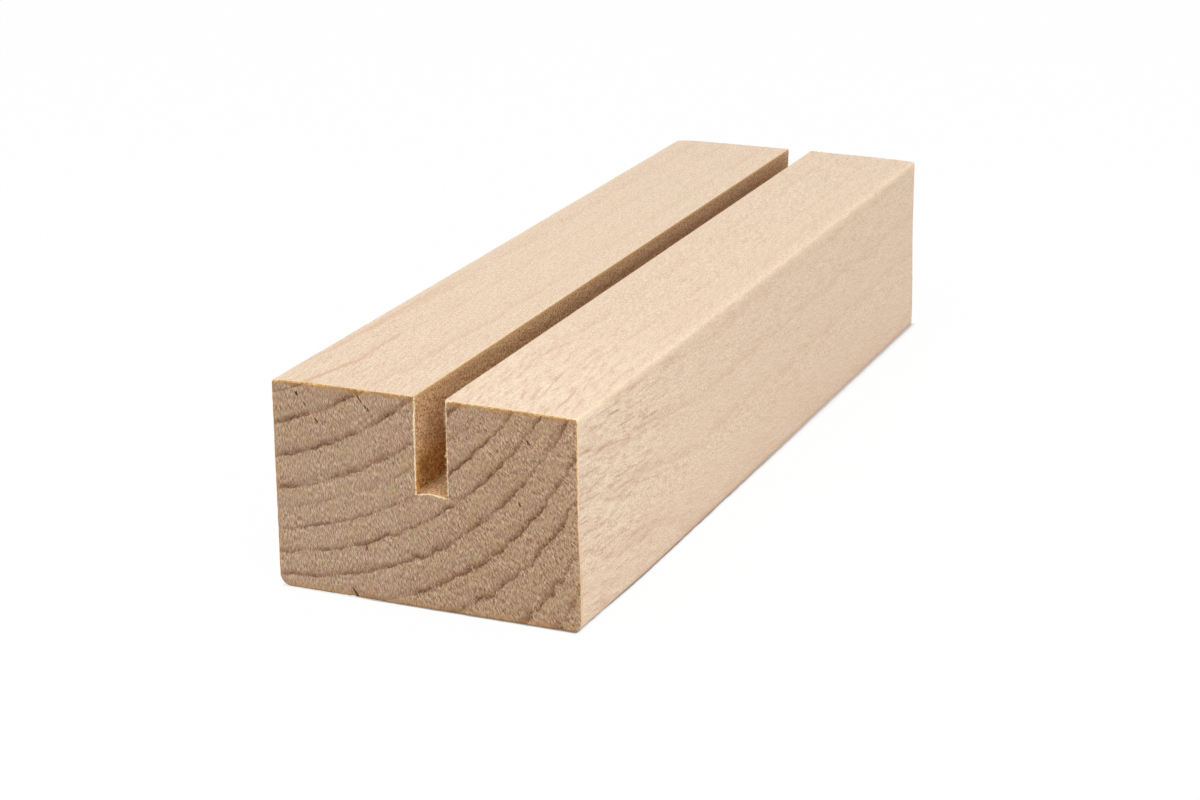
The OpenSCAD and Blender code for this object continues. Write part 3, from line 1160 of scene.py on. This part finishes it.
def make_edge_fibres():
    draw = random.Random(FUZZ_SEED)
    places, faces = [], []
    for start, end, aim, count, longest in FUZZ_RUNS:
        for _ in range(count):
            root = Vector(start).lerp(Vector(end), draw.random())
            turned = Vector([a + draw.uniform(-AIM_SPREAD, AIM_SPREAD) for a in aim])
            length = longest * draw.uniform(SHORTEST, 1.0) + ROOT_DEPTH
            bend = Vector([draw.uniform(-FIBRE_BEND, FIBRE_BEND) for _ in range(3)])
            root -= turned.normalized() * ROOT_DEPTH
            thickness = draw.uniform(THINNEST, THICKEST)
            add_fibre(root, turned, length, thickness, bend, places, faces)
    for root, aim, length, thickness in SPLINTERS:
        add_fibre(root, aim, length, thickness, Vector((0, 0, 0)), places, faces)
    for place in places:
        place.z = max(place.z, LOWEST)
    piece = new_piece("edge_fibres", places, faces)
    piece.data.materials.append(edge_fibre())
    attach(piece, "root")
    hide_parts("block")


# Floor, light and camera

# Half the floor's side in mm, its own colour and that of the painted contact shadow line
FLOOR_REACH = 3000
FLOOR_PAINT = (243.445, 243.445, 243.445)
CONTACT_SHADOW_PAINT = (134, 104, 80)
# The floor is darkest within the first distance below, in mm, of the block's foot, where a
# shadow line is painted into its colour, and is lifted toward white from CONTACT_WIDTH mm on
CONTACT_SHADOW_LINE = 0.24
CONTACT_WIDTH = 0.5
FLOOR_LIFT = 0.965
# Where the foot lies, in mm: in from the right side by the photographed end, out from it
# farther along, and in from the ends
FOOT_IN = 0.42
FOOT_OUTSIDE = 0.05
FOOT_IN_FROM_END = 0.04
# The contact shadow is softer by the far end: where that starts and is complete, how much
# wider it is there, and the strength of its painted line
SOFTER_FROM, SOFTER_TO = -30.0, 20.0
FAR_WIDTH = 2.0
FAR_LINE = 0.7
# How far the darkest floor is lifted: under the rounder left edge, elsewhere, and by the
# far end
LIFT_LEFT = 0.82
LIFT_LEAST = 0.2
LIFT_FAR = 0.38
# Brightness of the world as a light, where 1 is white
SKY_LIGHT = 0.72
# Square soft lights that face a point, in metres: place, side, and power in watts
LIT_POINT = (0.0, 0.0, 0.01)
SOFTBOXES = {
    "overhead_softbox": ((0.05, -0.2, 0.45), 0.4, 0.95),
    "front_right_softbox": ((0.42, -0.38, 0.25), 0.3, 0.7),
}


def pale_floor():
    """What the camera and mirrors see of the floor is lifted toward white, less so right
    beside the block, where the contact shadow shows. A dark shadow line is also painted
    into the floor's own colour at the block's foot."""
    material = bpy.data.materials.new("pale floor")
    material.use_nodes = True
    w = Wiring(material.node_tree)
    shader = w.tree.nodes["Principled BSDF"]
    shader.inputs["Roughness"].default_value = 1.0
    shader.inputs["Specular IOR Level"].default_value = 0.0
    place = w.scaled(w.add("TexCoord", {}).outputs["Object"], 1 / MM, 1 / MM, 1 / MM)
    x, y = w.parts(place)[:2]
    side = w.spread(y, FRONT, FRONT + ROUNDER_UNTIL, RIGHT - FOOT_IN, RIGHT + FOOT_OUTSIDE)
    beside = w.most(w.minus(w.size(x), side), 0.0)
    beyond = w.most(w.minus(w.size(y), BACK - FOOT_IN_FROM_END), 0.0)
    away = w.maths("SQRT", w.total(w.times(beside, beside), w.times(beyond, beyond)))
    softer = w.spread(y, SOFTER_FROM, SOFTER_TO)
    away = w.divided(w.total(away, w.sway(place, 2.0, 0.1, 2.0)), w.between(softer, 1.0, FAR_WIDTH))
    under_left = w.spread(x, -9.0, -3.0, LIFT_LEFT, LIFT_LEAST)
    least = w.most(under_left, w.between(softer, LIFT_LEAST, LIFT_FAR))
    lift = w.spread(away, 0.05, CONTACT_WIDTH, least, FLOOR_LIFT)
    # Painted contact shadow: a dark line in the floor's own colour close by the block's foot
    line = w.spread(away, 0.1, CONTACT_SHADOW_LINE, w.between(softer, 1.0, FAR_LINE), 0.0)
    w.put(shader.inputs["Base Color"], w.blend(line, FLOOR_PAINT, CONTACT_SHADOW_PAINT))
    white = w.add("Emission", {"Color": (1, 1, 1, 1), "Strength": 1.0}).outputs[0]
    surfaces = {0: w.times(w.seen_directly(), lift), 1: shader.outputs[0], 2: white}
    seen = w.add("MixShader", surfaces).outputs[0]
    w.put(w.tree.nodes["Material Output"].inputs["Surface"], seen)
    return material


def make_floor():
    signs = ((-1, -1), (1, -1), (1, 1), (-1, 1))
    corners = [(FLOOR_REACH * x, FLOOR_REACH * y, 0) for x, y in signs]
    floor = new_piece("floor", corners, [(0, 1, 2, 3)])
    floor.data.materials.append(pale_floor())


def make_world():
    world = bpy.data.worlds.new("studio")
    bpy.context.scene.world = world
    world.use_nodes = True
    w = Wiring(world.node_tree)
    background = w.tree.nodes["Background"].inputs
    background["Color"].default_value = (1, 1, 1, 1)
    w.put(background["Strength"], w.between(w.seen_directly(), SKY_LIGHT, 1.0))


def make_lamps():
    for name, (place, side, power) in SOFTBOXES.items():
        lamp = bpy.data.lights.new(name, "AREA")
        lamp.shape = "SQUARE"
        lamp.size = side
        lamp.energy = power
        softbox = bpy.data.objects.new(name, lamp)
        softbox.location = place
        ahead = Vector(LIT_POINT) - Vector(place)
        softbox.rotation_euler = ahead.to_track_quat("-Z", "Y").to_euler()
        bpy.context.scene.collection.objects.link(softbox)


# The photograph's camera: its place in mm, its turn, tilt and roll in degrees, and its
# focal length in pixels of a picture PICTURE_WIDTH wide
CAMERA_PLACE = (104.82, -256.56, 97.67)
CAMERA_TURN = -23.005
CAMERA_TILT = 18.634
CAMERA_ROLL = -0.353
FOCAL_PIXELS = 2774.5
PICTURE_WIDTH = 1200
# Width of the camera's sensor in mm, and the nearest that it sees, in metres
SENSOR_WIDTH = 36
NEAREST_SEEN = 0.01


def make_camera():
    turn, tilt, roll = (math.radians(a) for a in (CAMERA_TURN, CAMERA_TILT, CAMERA_ROLL))
    ahead = Vector((math.sin(turn) * math.cos(tilt), math.cos(turn) * math.cos(tilt), -math.sin(tilt)))
    level = Vector((math.cos(turn), -math.sin(turn), 0))
    down = ahead.cross(level)
    right = math.cos(roll) * level - math.sin(roll) * down
    up = -(math.sin(roll) * level + math.cos(roll) * down)
    data = bpy.data.cameras.new("camera")
    data.sensor_width = SENSOR_WIDTH
    data.lens = FOCAL_PIXELS / PICTURE_WIDTH * SENSOR_WIDTH
    data.clip_start = NEAREST_SEEN
    camera = bpy.data.objects.new("camera", data)
    turned = Matrix((right, up, -ahead)).transposed().to_4x4()
    camera.matrix_world = Matrix.Translation(Vector(CAMERA_PLACE) * MM) @ turned
    bpy.context.scene.collection.objects.link(camera)
    bpy.context.scene.camera = camera


bpy.context.scene.view_settings.view_transform = "Standard"
make_block()
make_edge_fibres()
make_floor()
make_world()
make_lamps()
make_camera()
